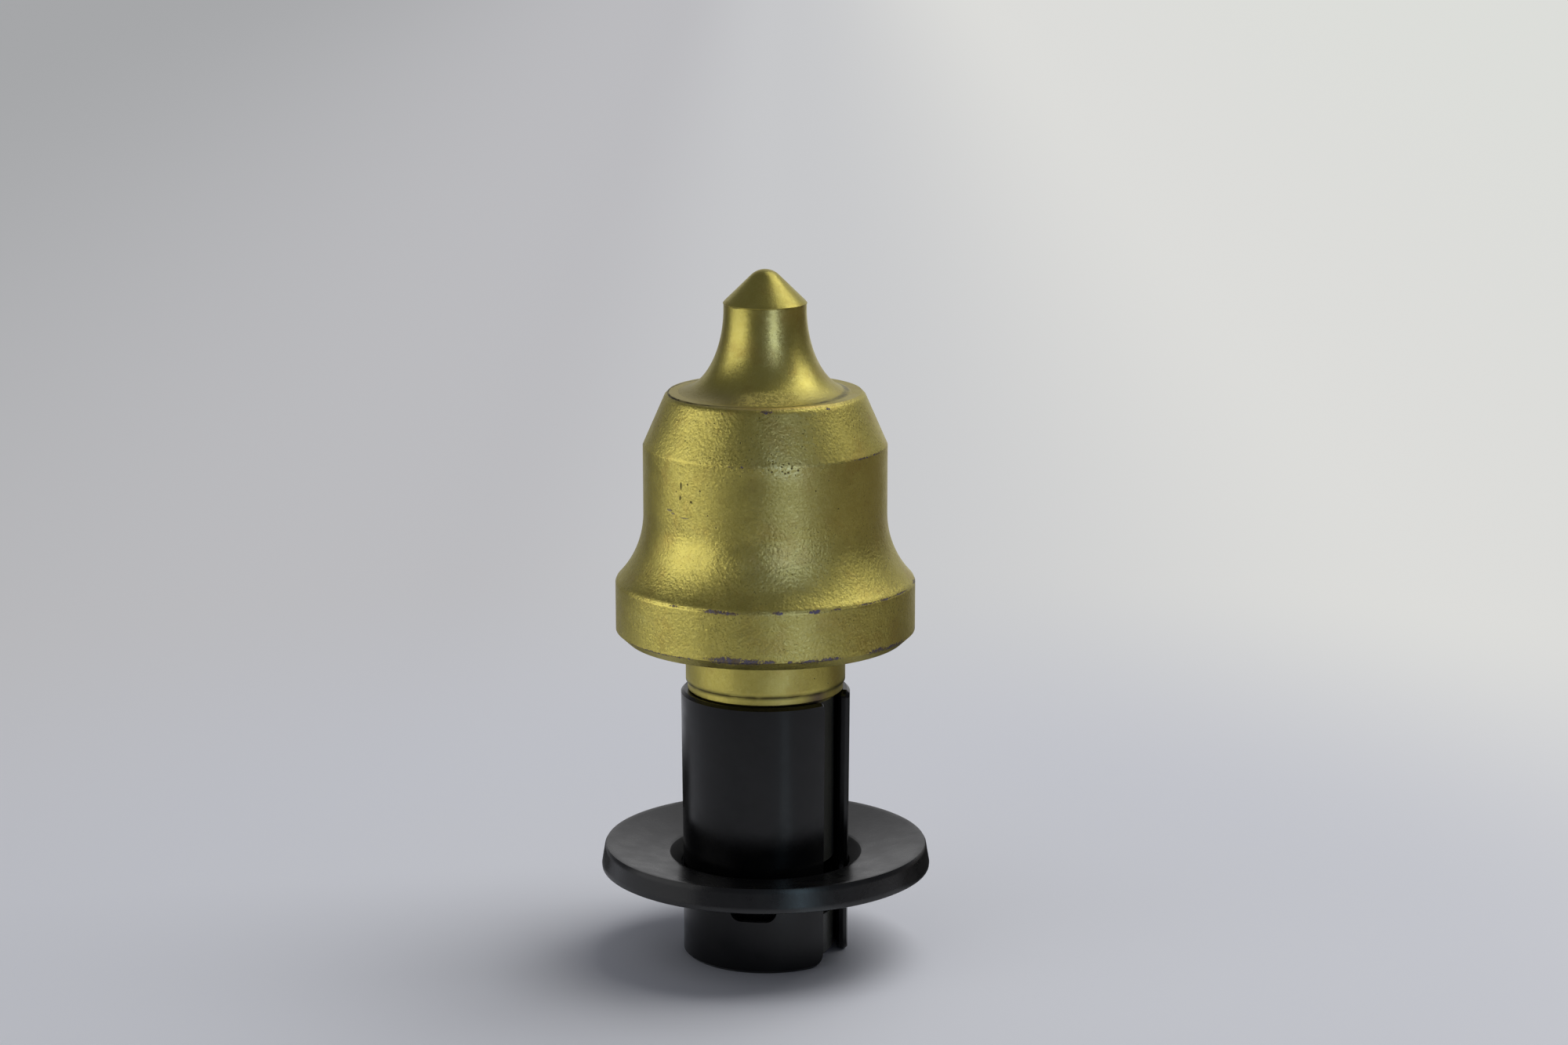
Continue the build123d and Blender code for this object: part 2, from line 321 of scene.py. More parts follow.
# %% A new paint
class Paint:
    """A material's node tree, with its shader and the coordinates of its piece at hand."""

    def __init__(self, name):
        self.material = bpy.data.materials.new(name)
        self.material.use_nodes = True
        self.nodes = self.material.node_tree.nodes
        self.links = self.material.node_tree.links
        self.shader = self.nodes["Principled BSDF"]
        self.place = self.nodes.new("ShaderNodeTexCoord").outputs["Object"]

    def put(self, socket, value):
        """Links another node's output to a socket, or sets the socket to a plain value."""
        if isinstance(value, bpy.types.NodeSocket):
            self.links.new(value, socket)
        else:
            socket.default_value = value

    def surface(self, socket_name, value):
        """Sets one input of the shader, or links a node to it."""
        self.put(self.shader.inputs[socket_name], value)

    def cover(self, piece):
        """Gives the paint to a piece, in the slot it has or in a new one."""
        if piece.material_slots:
            piece.material_slots[0].material = self.material
        else:
            piece.data.materials.append(self.material)
        print(f"{self.material.name}: {len(self.nodes)} nodes on {piece.name}")


# %% Sums, noise, steps and mixes
def work_out(paint, operation, first, second=0.0):
    """One sum on two numbers, each a plain one or another node's output."""
    node = paint.nodes.new("ShaderNodeMath")
    node.operation = operation
    paint.put(node.inputs[0], first)
    paint.put(node.inputs[1], second)
    return node.outputs[0]


def times(paint, first, second):
    return work_out(paint, "MULTIPLY", first, second)


def plus(paint, first, second):
    return work_out(paint, "ADD", first, second)


def noise(paint, size, detail=2.0, rough=0.5):
    """Soft noise with features of about size millimetres, its values mostly from 0.3 to 0.7."""
    node = paint.nodes.new("ShaderNodeTexNoise")
    paint.put(node.inputs["Vector"], paint.place)
    node.inputs["Scale"].default_value = 1 / (size * MM)
    node.inputs["Detail"].default_value = detail
    node.inputs["Roughness"].default_value = rough
    return node.outputs["Fac"]


def grade(paint, value, low, high, to_low=0.0, to_high=1.0):
    """Maps low..high smoothly to to_low..to_high, and holds the ends."""
    node = paint.nodes.new("ShaderNodeMapRange")
    node.interpolation_type = "SMOOTHSTEP"
    for socket, number in zip(node.inputs, (value, low, high, to_low, to_high)):
        paint.put(socket, number)
    return node.outputs["Result"]


def mix(paint, factor, first, second):
    """The first colour where the factor is 0, the second where it is 1."""
    node = paint.nodes.new("ShaderNodeMix")
    node.data_type = "RGBA"
    paint.put(node.inputs["Factor"], factor)
    paint.put(node.inputs["A"], first)
    paint.put(node.inputs["B"], second)
    return node.outputs["Result"]


print(f"a feature of 1 mm is noise of scale {1 / MM:.0f}, as the coordinates are in metres")


# %% Where a point lies: level, reach and turn
def level_of(paint):
    """The height above the table, in millimetres."""
    split = paint.nodes.new("ShaderNodeSeparateXYZ")
    paint.put(split.inputs[0], paint.place)
    return times(paint, split.outputs["Z"], 1 / MM)


def reach_of(paint, centre=(0, 0)):
    """The distance from the axis, or from an upright line through centre, in millimetres."""
    flat = paint.nodes.new("ShaderNodeVectorMath")
    flat.operation = "MULTIPLY_ADD"
    paint.put(flat.inputs[0], paint.place)
    flat.inputs[1].default_value = (1 / MM, 1 / MM, 0)
    flat.inputs[2].default_value = (-centre[0], -centre[1], 0)
    length = paint.nodes.new("ShaderNodeVectorMath")
    length.operation = "LENGTH"
    paint.put(length.inputs[0], flat.outputs[0])
    return length.outputs["Value"]


def turn_of(paint):
    """The angle round the axis in degrees: 0 at the front, positive to the right."""
    split = paint.nodes.new("ShaderNodeSeparateXYZ")
    paint.put(split.inputs[0], paint.place)
    angle = work_out(paint, "ARCTAN2", split.outputs["X"], times(paint, split.outputs["Y"], -1.0))
    return times(paint, angle, degrees(1))


def band(paint, value, middle, half_width):
    """1 where value is at the middle, falling to 0 at half_width from it."""
    away = work_out(paint, "ABSOLUTE", work_out(paint, "SUBTRACT", value, middle))
    return grade(paint, away, 0.0, half_width, 1.0, 0.0)


print(f"one degree of turn is {radians(1) * flange_radius:.2f} mm on the flange")

# %% [markdown]
# ## Where the paint has gone
#
# Paint leaves a turned tool where it was knocked: along the flange's edges, on the shoulder and at
# the rim. Each knock is a soft spot stored on the points of the piece, at a turn round the axis and
# a level. The paint's noise then breaks the spots into ragged chips, so a few spots make
# edges that look struck and not drawn. Wear could also come from the Pointiness of the mesh, but
# that would nick every edge alike.

# %% Knocks along the flange
flange_chips = [
    # turn, level, half width, half height, strength
    (-36, 47.9, 0.5, 0.14, 1.0), (-18, 47.8, 1.7, 0.2, 1.1), (-12.5, 47.7, 1.0, 0.18, 1.0),
    (5, 47.85, 0.6, 0.2, 1.1), (19, 47.8, 0.8, 0.2, 1.1), (28, 47.85, 0.6, 0.14, 0.9),
    (42, 47.9, 1.6, 0.1, 0.95), (52, 47.9, 1.4, 0.12, 1.0), (64, 47.9, 2.0, 0.1, 1.0),
    (84, 47.9, 1.5, 0.18, 1.0), (118, 47.85, 1.0, 0.2, 1.0), (150, 47.9, 2.2, 0.16, 1.0),
    (197, 47.85, 1.4, 0.2, 1.1), (236, 47.9, 0.8, 0.18, 1.0), (262, 47.85, 2.0, 0.18, 1.0),
    (-60, 41.65, 2.4, 0.14, 0.9), (-45, 41.65, 3.2, 0.15, 0.95), (-33, 41.7, 2.0, 0.13, 0.9),
    (-14, 41.9, 2.3, 0.42, 1.1), (-5, 41.85, 1.4, 0.34, 1.05), (2, 41.9, 0.7, 0.26, 1.0),
    (9, 41.85, 0.4, 0.22, 1.0), (17, 41.75, 1.5, 0.24, 1.0), (25, 41.8, 1.6, 0.24, 1.0),
    (47, 41.8, 1.8, 0.34, 0.95), (57, 41.75, 2.6, 0.32, 0.95), (88, 41.8, 2.0, 0.28, 1.0),
    (121, 41.7, 3.0, 0.2, 1.0), (168, 41.8, 2.4, 0.3, 1.1), (205, 41.7, 1.5, 0.2, 1.0),
    (247, 41.8, 3.2, 0.28, 1.0),
]
print(f"{len(flange_chips)} knocks along the flange")

# %% Knocks and scuffs on the head
head_chips = [
    (49, 64.78, 0.9, 0.1, 1.0), (55, 64.8, 1.1, 0.1, 1.0), (63, 64.82, 1.6, 0.12, 1.1),
    (72, 64.82, 1.2, 0.1, 1.0), (-16, 64.7, 0.5, 0.08, 0.9), (-10, 64.7, 0.4, 0.08, 0.9),
    (131, 64.8, 2.2, 0.12, 1.0), (214, 64.8, 1.4, 0.14, 1.0), (269, 64.75, 1.0, 0.1, 1.0),
    (1, 70.95, 0.55, 0.13, 1.4), (-24, 70.7, 0.35, 0.12, 0.9), (38, 70.9, 0.4, 0.1, 0.9),
    (163, 70.8, 0.9, 0.12, 1.0), (240, 70.8, 0.6, 0.12, 1.0),
    (108, 59.5, 0.3, 0.7, 0.9), (187, 60.5, 0.8, 0.15, 0.9), (225, 57.2, 0.3, 0.4, 0.9),
]
scuffs = [
    (7, 64.5, 1.5, 0.8, 1.2), (4.5, 65.6, 0.8, 1.0, 1.0), (12, 64.3, 1.2, 0.6, 1.1),
    (-55, 45.5, 1.4, 0.3, 0.5), (5, 52.0, 3.0, 1.8, 0.25), (140, 64.4, 2.2, 1.0, 0.8),
    (205, 53, 2.0, 1.2, 0.6), (255, 45, 2.4, 0.8, 0.6),
]
print(f"{len(head_chips)} knocks and {len(scuffs)} scuffs on the head and the flare")


# %% Store the spots on the body's points
def store_spots(piece, attribute_name, spots):
    """Stores the strongest spot at every point of the piece, from 0 to about 1."""
    count = len(piece.data.vertices)
    points = np.empty(count * 3)
    piece.data.vertices.foreach_get("co", points)
    points = points.reshape(-1, 3) / MM
    turn = np.arctan2(points[:, 0], -points[:, 1])
    reach = np.hypot(points[:, 0], points[:, 1])
    value = np.zeros(count)
    for spot_turn, level, half_width, half_height, strength in spots:
        around = (turn - radians(spot_turn) + pi) % (2 * pi) - pi
        distance = (around * reach / half_width) ** 2 + ((points[:, 2] - level) / half_height) ** 2
        value = np.maximum(value, strength * np.exp(-0.5 * distance))
    attribute = piece.data.attributes.new(attribute_name, "FLOAT", "POINT")
    attribute.data.foreach_set("value", value)
    print(f"{piece.name}: {attribute_name}, {len(spots)} spots, {np.mean(value > 0.5):.1%} of its points")


def stored(paint, attribute_name):
    """What store_spots has left on the piece, for a paint to read."""
    node = paint.nodes.new("ShaderNodeAttribute")
    node.attribute_name = attribute_name
    return node.outputs["Fac"]


store_spots(painted_body, "chipped", flange_chips + head_chips)
store_spots(painted_body, "scuffed", scuffs)

# %% [markdown]
# ## Gold lacquer
#
# The head was sprayed with a gold metallic lacquer straight onto blasted steel. Under a soft light
# the flakes give a wide satin glow, and the blasted skin shows through as a fine sandy grain. So
# the shader is a metal, and its relief comes in scales: orange peel of two millimetres, sand of a
# quarter of a millimetre, and flakes smaller than that, which only tilt the normal. A clear coat
# could be added, but this lacquer is cheap and thin and shows no second highlight.

# %% Colours of the lacquer
gold = (0.63, 0.545, 0.135, 1)
deep_gold = (0.46, 0.385, 0.092, 1)
brown_gold = (0.50, 0.37, 0.09, 1)
dark_gold = (0.22, 0.18, 0.05, 1)
dusty_gold = (0.56, 0.48, 0.19, 1)
# colour of a painted highlight on the rim's front edge
lip_highlight_gold = (0.80, 0.58, 0.16, 1)
pale_gold = (0.74, 0.67, 0.22, 1)
# dark colour: dirt in pits, dark spray on the shank, and painted shade in the two steps and along the
# braze seam
dirt_and_shade = (0.05, 0.042, 0.02, 1)
bare_steel = (0.17, 0.15, 0.18, 1)
stained_steel = (0.22, 0.17, 0.10, 1)
scuffed_paint = (0.84, 0.79, 0.29, 1)
unpainted_steel = (0.03, 0.03, 0.02, 1)


def gold_colour(paint):
    """Gold with slow drifts of density and a fine mottle."""
    drift = grade(paint, noise(paint, 9, 2), 0.35, 0.7)
    brown = grade(paint, noise(paint, 4, 4, 0.6), 0.5, 0.72)
    mottle = grade(paint, noise(paint, 0.6, 4, 0.65), 0.4, 0.7)
    colour = mix(paint, times(paint, drift, 0.45), gold, deep_gold)
    colour = mix(paint, times(paint, brown, 0.55), colour, brown_gold)
    return mix(paint, times(paint, mottle, 0.25), colour, pale_gold)


print("gold lacquer:", [round(channel, 3) for channel in gold[:3]])


# %% Relief of the lacquer
def bump(paint, height, depth, normal=None):
    """Relief of a height from 0 to 1, depth millimetres deep."""
    node = paint.nodes.new("ShaderNodeBump")
    node.inputs["Strength"].default_value = 1
    node.inputs["Distance"].default_value = depth * MM
    paint.put(node.inputs["Height"], height)
    if normal:
        paint.put(node.inputs["Normal"], normal)
    return node.outputs["Normal"]


PEBBLE = 0.42         # mm, the size of the rounded bumps that blasting leaves


def sand(paint):
    """The blasted skin under the paint: fine noise and rounded bumps, from 0 to about 1."""
    cells = paint.nodes.new("ShaderNodeTexVoronoi")
    cells.feature = "SMOOTH_F1"
    paint.put(cells.inputs["Vector"], paint.place)
    cells.inputs["Scale"].default_value = 1 / (PEBBLE * MM)
    cells.inputs["Smoothness"].default_value = 0.6
    pebbles = grade(paint, cells.outputs["Distance"], 0.1, 0.8, 1.0, 0.0)
    return plus(paint, times(paint, noise(paint, 0.26, 3, 0.6), 0.8), times(paint, pebbles, 0.3))


print(f"{PEBBLE} mm pebbles: {2 * pi * head_radius / PEBBLE:.0f} round the head")


# %% Metal flakes
FLAKE = 0.12          # mm, so many that each only tilts the shine of one speck


def vector_work(paint, operation, first, second):
    """One step of sums on two vectors, as work_out does it on two numbers."""
    node = paint.nodes.new("ShaderNodeVectorMath")
    node.operation = operation
    paint.put(node.inputs[0], first)
    paint.put(node.inputs[1], second)
    return node.outputs[0]


def flakes(paint, tilt, normal):
    """Tilts the normal by a random amount in every flake."""
    cells = paint.nodes.new("ShaderNodeTexVoronoi")
    paint.put(cells.inputs["Vector"], paint.place)
    cells.inputs["Scale"].default_value = 1 / (FLAKE * MM)
    lean = vector_work(paint, "SUBTRACT", cells.outputs["Color"], (0.5, 0.5, 0.5))
    lean = vector_work(paint, "MULTIPLY", lean, (tilt, tilt, tilt))
    leaning = vector_work(paint, "ADD", normal, lean)
    return vector_work(paint, "NORMALIZE", leaning, (0, 0, 0))


print(f"{FLAKE} mm flakes: {1 / FLAKE ** 2:.0f} on a square millimetre")


# %% Pits and single marks
def pits(paint, spacing, size, share):
    """Round pits of about size millimetres in a share of cells spacing millimetres apart."""
    cells = paint.nodes.new("ShaderNodeTexVoronoi")
    paint.put(cells.inputs["Vector"], paint.place)
    cells.inputs["Scale"].default_value = 1 / (spacing * MM)
    near = grade(paint, cells.outputs["Distance"], 0.4 * size / spacing, size / spacing, 1.0, 0.0)
    split = paint.nodes.new("ShaderNodeSeparateColor")
    paint.put(split.inputs[0], cells.outputs["Color"])
    chosen = work_out(paint, "LESS_THAN", split.outputs[0], share)
    return times(paint, near, chosen)


def marks(paint, turn, level, places):
    """Small marks, each at a turn and a level, with a half width and a half height in mm."""
    around = times(paint, turn, radians(1) * head_radius)
    total = 0.0
    for mark_turn, mark_level, half_width, half_height in places:
        across = work_out(paint, "SUBTRACT", around, radians(mark_turn) * head_radius)
        along = work_out(paint, "SUBTRACT", level, mark_level)
        across = work_out(paint, "POWER", times(paint, across, 1 / half_width), 2.0)
        along = work_out(paint, "POWER", times(paint, along, 1 / half_height), 2.0)
        one = grade(paint, plus(paint, across, along), 0.4, 1.2, 1.0, 0.0)
        total = work_out(paint, "MAXIMUM", one, total)
    return total


head_marks = [
    # turn, level, half width, half height
    (-42, 61.75, 0.14, 0.55), (-42.5, 60.3, 0.13, 0.35), (-38, 62.1, 0.13, 0.13),
    (-36, 60.0, 0.2, 0.16), (-45, 61.0, 0.1, 0.1), (-31, 61.5, 0.16, 0.1), (-27, 58.6, 0.12, 0.1),
    (24, 61.7, 0.1, 0.12), (36, 59.2, 0.12, 0.09), (-12, 67.5, 0.1, 0.14), (20, 68.4, 0.16, 0.09),
]
head_scratches = [(-50, 58.5, 0.55, 0.16), (-47.5, 58.2, 0.35, 0.12), (-40, 57.9, 0.8, 0.07)]
print(f"{len(head_marks)} pits and {len(head_scratches)} scratches placed by hand")

# %% [markdown]
# ## Painted shade where the point is brazed in
#
# The point was brazed a little off the axis and the paint has filled the gap round it. The shade
# of that seam and of the rim's outer edge is painted in as a dark line on a circle that lies over
# to the left: at the rim's outer edge there, and close to the foot at the right. It is painted on
# both pieces from the same circle, thin at the left and the front, wide and soft at the right.

# %% Painted shade along the braze line
braze_shade_centre = (-0.95, -0.5)
braze_shade_radius = 10.9


def braze_shade_line(paint, turn):
    """Painted shade of the seam: 1 at its middle, thin and dark at the left, wide and soft at the right.
    """
    wander = times(paint, plus(paint, noise(paint, 0.8, 3), -0.5), 0.14)
    away = work_out(paint, "SUBTRACT", reach_of(paint, braze_shade_centre), braze_shade_radius)
    away = work_out(paint, "ABSOLUTE", plus(paint, away, wander))
    half_width = grade(paint, turn, 0.0, 60.0, 0.14, 0.55)
    line = grade(paint, work_out(paint, "DIVIDE", away, half_width), 0.2, 1.0, 1.0, 0.0)
    line = times(paint, line, grade(paint, turn, 10.0, 60.0, 0.95, 0.6))
    return times(paint, line, grade(paint, noise(paint, 1.6, 3), 0.34, 0.56, 0.45, 1.0))


print(f"braze line {2 * braze_shade_radius} mm across, {-braze_shade_centre[0]} mm to the left")

# %% [markdown]
# ## Gold paint on the steel
#
# The body carries every kind of wear. The paint stops a little way into the sleeve's mouth, where
# the sleeve kept the spray off. Chips go down to grey blued steel with a dark rim of dirt, scuffs
# leave pale scratched paint, and pits and grit show as dark specks. The collar is smooth, because
# it was ground to fit the toolholder, and the shade in the step under it is painted in as a dark
# line. The flat rim round the point is dull with dry spray, and a painted highlight in a warmer
# gold lies along its front edge. Each of these is a mask from 0 to 1, worked out first, and the
# colours are then laid over each other with the masks.

# %% Skin of the body, and where its paint ends
steel_paint = Paint("gold_paint_on_steel")
level = level_of(steel_paint)
reach = reach_of(steel_paint)
turn = turn_of(steel_paint)

collar_smooth = grade(steel_paint, level, flange_underside - 0.3, flange_underside + 0.3, 0.06, 1.0)
smooth_head = times(steel_paint, grade(steel_paint, level, 56.0, 59.0),
                    grade(steel_paint, level, 63.0, 65.0, 1.0, 0.0))
uneven = grade(steel_paint, noise(steel_paint, 6, 3), 0.38, 0.62, 0.55, 1.15)
sand_depth = times(steel_paint, collar_smooth, uneven)
sand_depth = times(steel_paint, sand_depth, plus(steel_paint, 1.0, times(steel_paint, smooth_head, -0.45)))
spray_edge = plus(steel_paint, level, times(steel_paint, noise(steel_paint, 1.2, 3), 0.8))
painted = grade(steel_paint, spray_edge, 33.6, 34.2)
print(f"skin and spray edge: {len(steel_paint.nodes)} nodes")

# %% Chips and scratches down to the steel
ragged = plus(steel_paint, noise(steel_paint, 0.28, 5, 0.75), -0.5)
chip = plus(steel_paint, times(steel_paint, ragged, 2.6), stored(steel_paint, "chipped"))
edges = plus(steel_paint, band(steel_paint, level, flange_top - 0.05, 0.3),
             band(steel_paint, level, band_bottom, 0.35))
edges = plus(steel_paint, edges, band(steel_paint, level, shoulder, 0.25))
nicks = grade(steel_paint, noise(steel_paint, 0.45, 4, 0.7), 0.52, 0.68, 0.0, 0.8)
chip = work_out(steel_paint, "MAXIMUM", chip, times(steel_paint, edges, nicks))
near_chip = grade(steel_paint, chip, 0.45, 0.66)
scratched = marks(steel_paint, turn, level, head_scratches)
bare = work_out(steel_paint, "MAXIMUM", grade(steel_paint, chip, 0.66, 0.74),
                times(steel_paint, scratched, 0.6))
print(f"chips at {len(flange_chips + head_chips)} knocks and along three edges")

# %% Scuffs, pits, grit and dust
strokes = grade(steel_paint, noise(steel_paint, 0.35, 5, 0.75), 0.46, 0.56)
scuff = times(steel_paint, strokes, stored(steel_paint, "scuffed"))
scuff_pit = times(steel_paint, pits(steel_paint, 0.4, 0.17, 0.5),
                  grade(steel_paint, stored(steel_paint, "scuffed"), 0.3, 0.7))
speck = work_out(steel_paint, "MAXIMUM", pits(steel_paint, 1.5, 0.12, 0.2),
                 marks(steel_paint, turn, level, head_marks))
speck = work_out(steel_paint, "MAXIMUM", speck, scuff_pit)
grit = grade(steel_paint, noise(steel_paint, 0.24, 3, 0.7), 0.33, 0.43, 1.0, 0.0)
dust = times(steel_paint, band(steel_paint, level, shoulder, 0.35),
             grade(steel_paint, noise(steel_paint, 1.4, 3), 0.45, 0.7))
print(f"with scuffs, pits, grit and dust: {len(steel_paint.nodes)} nodes")

# %% Painted shade in the collar's step, and a stain below it
# painted shade: a dark band where the collar's step falls into shade, broken by noise
collar_step_shade = times(steel_paint, band(steel_paint, level, collar_level + 0.02, 0.5),
                      grade(steel_paint, noise(steel_paint, 2.5, 3), 0.3, 0.6, 0.6, 1.0))
below_step = grade(steel_paint, level, collar_level - 0.1, collar_level - 0.02, 1.0, 0.0)
rubbed_step = times(steel_paint, band(steel_paint, turn, 42.0, 17.0), below_step)
print(f"the step under the collar is at {collar_level} mm")

# %% Dry spray, the braze line's painted shade and a painted highlight on the rim's lip
on_rim = grade(steel_paint, level, rim_level - 0.3, rim_level - 0.15)
# painted shade of the braze seam and of the rim's outer edge, on the body's rim
line = times(steel_paint, braze_shade_line(steel_paint, turn), on_rim)
dull_rim = times(steel_paint, on_rim, grade(steel_paint, turn, -30.0, 20.0, 0.9, 0.35))
# painted highlight: warmer gold along the front of the rim's rounded outer edge, where it catches the
# light
front = times(steel_paint, grade(steel_paint, turn, -25.0, -5.0),
              grade(steel_paint, turn, 25.0, 45.0, 1.0, 0.0))
lip_highlight = times(steel_paint, times(steel_paint, band(steel_paint, reach, rim_inner, 0.3), front),
                   grade(steel_paint, level, rim_level - 0.5, rim_level - 0.35))
print(f"with the rim: {len(steel_paint.nodes)} nodes")

# %% Colour of the paint
colour = gold_colour(steel_paint)
colour = mix(steel_paint, times(steel_paint, grit, times(steel_paint, sand_depth, 0.8)), colour, dark_gold)
colour = mix(steel_paint, times(steel_paint, scuff, 0.8), colour, scuffed_paint)
colour = mix(steel_paint, times(steel_paint, dust, 0.45), colour, deep_gold)
colour = mix(steel_paint, times(steel_paint, speck, 0.85), colour, dirt_and_shade)
colour = mix(steel_paint, dull_rim, colour, dusty_gold)
colour = mix(steel_paint, times(steel_paint, lip_highlight, 0.6), colour, lip_highlight_gold)
colour = mix(steel_paint, line, colour, dirt_and_shade)
colour = mix(steel_paint, rubbed_step, colour, stained_steel)
colour = mix(steel_paint, times(steel_paint, collar_step_shade, 0.9), colour, dirt_and_shade)
colour = mix(steel_paint, times(steel_paint, near_chip, 0.5), colour, brown_gold)
print(f"paint colour: {len(steel_paint.nodes)} nodes")

# %% Colour of the bare steel and of the shank
stains = grade(steel_paint, noise(steel_paint, 0.5, 3), 0.45, 0.6)
steel_colour = mix(steel_paint, stains, bare_steel, stained_steel)
steel_colour = mix(steel_paint, scratched, steel_colour, bare_steel)
colour = mix(steel_paint, bare, colour, steel_colour)

# A little spray reached the shank through the sleeve's slit
overspray = times(steel_paint, grade(steel_paint, level, 12.0, 33.0, 0.0, 0.5),
                  band(steel_paint, turn, 17.0, 9.0))
shank_colour = mix(steel_paint, overspray, unpainted_steel, dirt_and_shade)
steel_paint.surface("Base Color", mix(steel_paint, painted, shank_colour, colour))
print(f"body colour: {len(steel_paint.nodes)} nodes")

# %% Relief and shine of the painted body
relief = plus(steel_paint, times(steel_paint, sand(steel_paint), sand_depth),
              times(steel_paint, noise(steel_paint, 2.2, 2), 0.8))
normal = bump(steel_paint, relief, 0.056)
hurt = plus(steel_paint, bare, times(steel_paint, speck, 0.8))
normal = bump(steel_paint, times(steel_paint, hurt, -1.0), 0.05, normal)
normal = flakes(steel_paint, 0.1, normal)
steel_paint.surface("Normal", normal)
rough = grade(steel_paint, noise(steel_paint, 3, 3), 0.3, 0.7, 0.37, 0.43)
rough = plus(steel_paint, rough, times(steel_paint, bare, 0.1))
steel_paint.surface("Roughness", plus(steel_paint, rough, times(steel_paint, dull_rim, 0.12)))
steel_paint.surface("Metallic", painted)
steel_paint.cover(painted_body)

# %% [markdown]
# ## Gold paint on the carbide
#
# The point wears the same lacquer over a smoother skin. Its foot caught sand and overspray, so the
# grain comes back there and the gold turns browner and duller. In front lies a patch of golden
# crumbs, spray that dried before it could flow, and the shade in the step under the cone is
# painted in as a dark line. The masks and helpers are those of the body, with other sizes.

# %% Foot, crumbs and painted shade of the point
carbide_paint = Paint("gold_paint_on_carbide")
level = level_of(carbide_paint)
reach = reach_of(carbide_paint)
turn = turn_of(carbide_paint)

foot = grade(carbide_paint, level, rim_level + 0.25, rim_level + 2.2, 1.0, 0.0)
foot_dust = times(carbide_paint, grade(carbide_paint, reach, 7.4, 9.6),
                  grade(carbide_paint, turn, -35.0, 25.0, 0.9, 0.2))
crumbs = times(carbide_paint, band(carbide_paint, turn, 2.0, 34.0), grade(carbide_paint, reach, 7.8, 8.7))
lumps = grade(carbide_paint, noise(carbide_paint, 0.45, 3, 0.7), 0.45, 0.55)
crumb_tops = times(carbide_paint, crumbs, lumps)
# painted shade: a dark line where the step under the cone falls into shade
cone_step_shade = times(carbide_paint, band(carbide_paint, level, flare_level + neck_height, 0.2),
                  grade(carbide_paint, noise(carbide_paint, 2.2, 3), 0.4, 0.6))
# painted shade of the braze seam, on the point's foot
line = times(carbide_paint, braze_shade_line(carbide_paint, turn), foot)
print(f"point wear: {len(carbide_paint.nodes)} nodes")

# %% Colour of the painted point
golden_crumbs = (0.9, 0.77, 0.2, 1)
colour = mix(carbide_paint, foot_dust, gold_colour(carbide_paint), dusty_gold)
colour = mix(carbide_paint, crumb_tops, colour, golden_crumbs)
colour = mix(carbide_paint, times(carbide_paint, cone_step_shade, 0.7), colour, dirt_and_shade)
colour = mix(carbide_paint, line, colour, dirt_and_shade)
carbide_paint.surface("Base Color", colour)
carbide_paint.surface("Metallic", grade(carbide_paint, crumb_tops, 0.0, 1.0, 1.0, 0.5))
print(f"point colour: {len(carbide_paint.nodes)} nodes")

# %% Relief and shine of the painted point
grain_depth = plus(carbide_paint, times(carbide_paint, foot, 1.3), 0.12)
relief = plus(carbide_paint, times(carbide_paint, sand(carbide_paint), grain_depth),
              times(carbide_paint, noise(carbide_paint, 2.4, 2), 0.6))
relief = plus(carbide_paint, relief, times(carbide_paint, crumb_tops, 1.6))
normal = flakes(carbide_paint, 0.08, bump(carbide_paint, relief, 0.035))
carbide_paint.surface("Normal", normal)
rough = grade(carbide_paint, noise(carbide_paint, 2, 3), 0.3, 0.7, 0.33, 0.38)
rough = plus(carbide_paint, rough, times(carbide_paint, foot_dust, 0.12))
carbide_paint.surface("Roughness", plus(carbide_paint, rough, times(carbide_paint, crumbs, 0.3)))
carbide_paint.cover(painted_point)

# %% [markdown]
# ## Blackened steel
#
# The sleeve is spring strip and the washer is plate, both blackened in hot salts and oiled. That
# oxide is no metal to the eye: it is a nearly black plastic-like skin with a satin shine, rubbed
# grey in places. A metal shader would reflect too much, so this is a plain glossy one with a very
# dark colour, and what is seen of it is mostly what it mirrors. The washer's countersink is matt.

# %% The black skin
black = (0.0012, 0.0013, 0.0017, 1)
brown_black = (0.0026, 0.0024, 0.0023, 1)
rubbed = (0.03, 0.03, 0.03, 1)


def blackened(name, shine, wear_share, grain):
    """A nearly black, satin, slightly uneven paint, and a roughness for it from shine upwards."""
    paint = Paint(name)
    patches = grade(paint, noise(paint, 5, 4), 0.4, 0.65)
    colour = mix(paint, patches, black, brown_black)
    wear = grade(paint, noise(paint, 0.7, 5, 0.7), 0.62, 0.75, 0.0, wear_share)
    paint.surface("Base Color", mix(paint, wear, colour, rubbed))
    paint.surface("Normal", bump(paint, noise(paint, 0.5, 4, 0.6), grain))
    return paint, grade(paint, noise(paint, 2.5, 4), 0.3, 0.7, shine, shine + 0.07)


print("black skin:", black[:3], "to", brown_black[:3])

# %% Blackened sleeve and washer
sleeve_steel, sleeve_rough = blackened("blackened_spring_steel", 0.2, 0.12, 0.004)
sleeve_steel.surface("Roughness", sleeve_rough)
sleeve_steel.surface("Specular IOR Level", 0.4)
sleeve_steel.cover(sleeve)

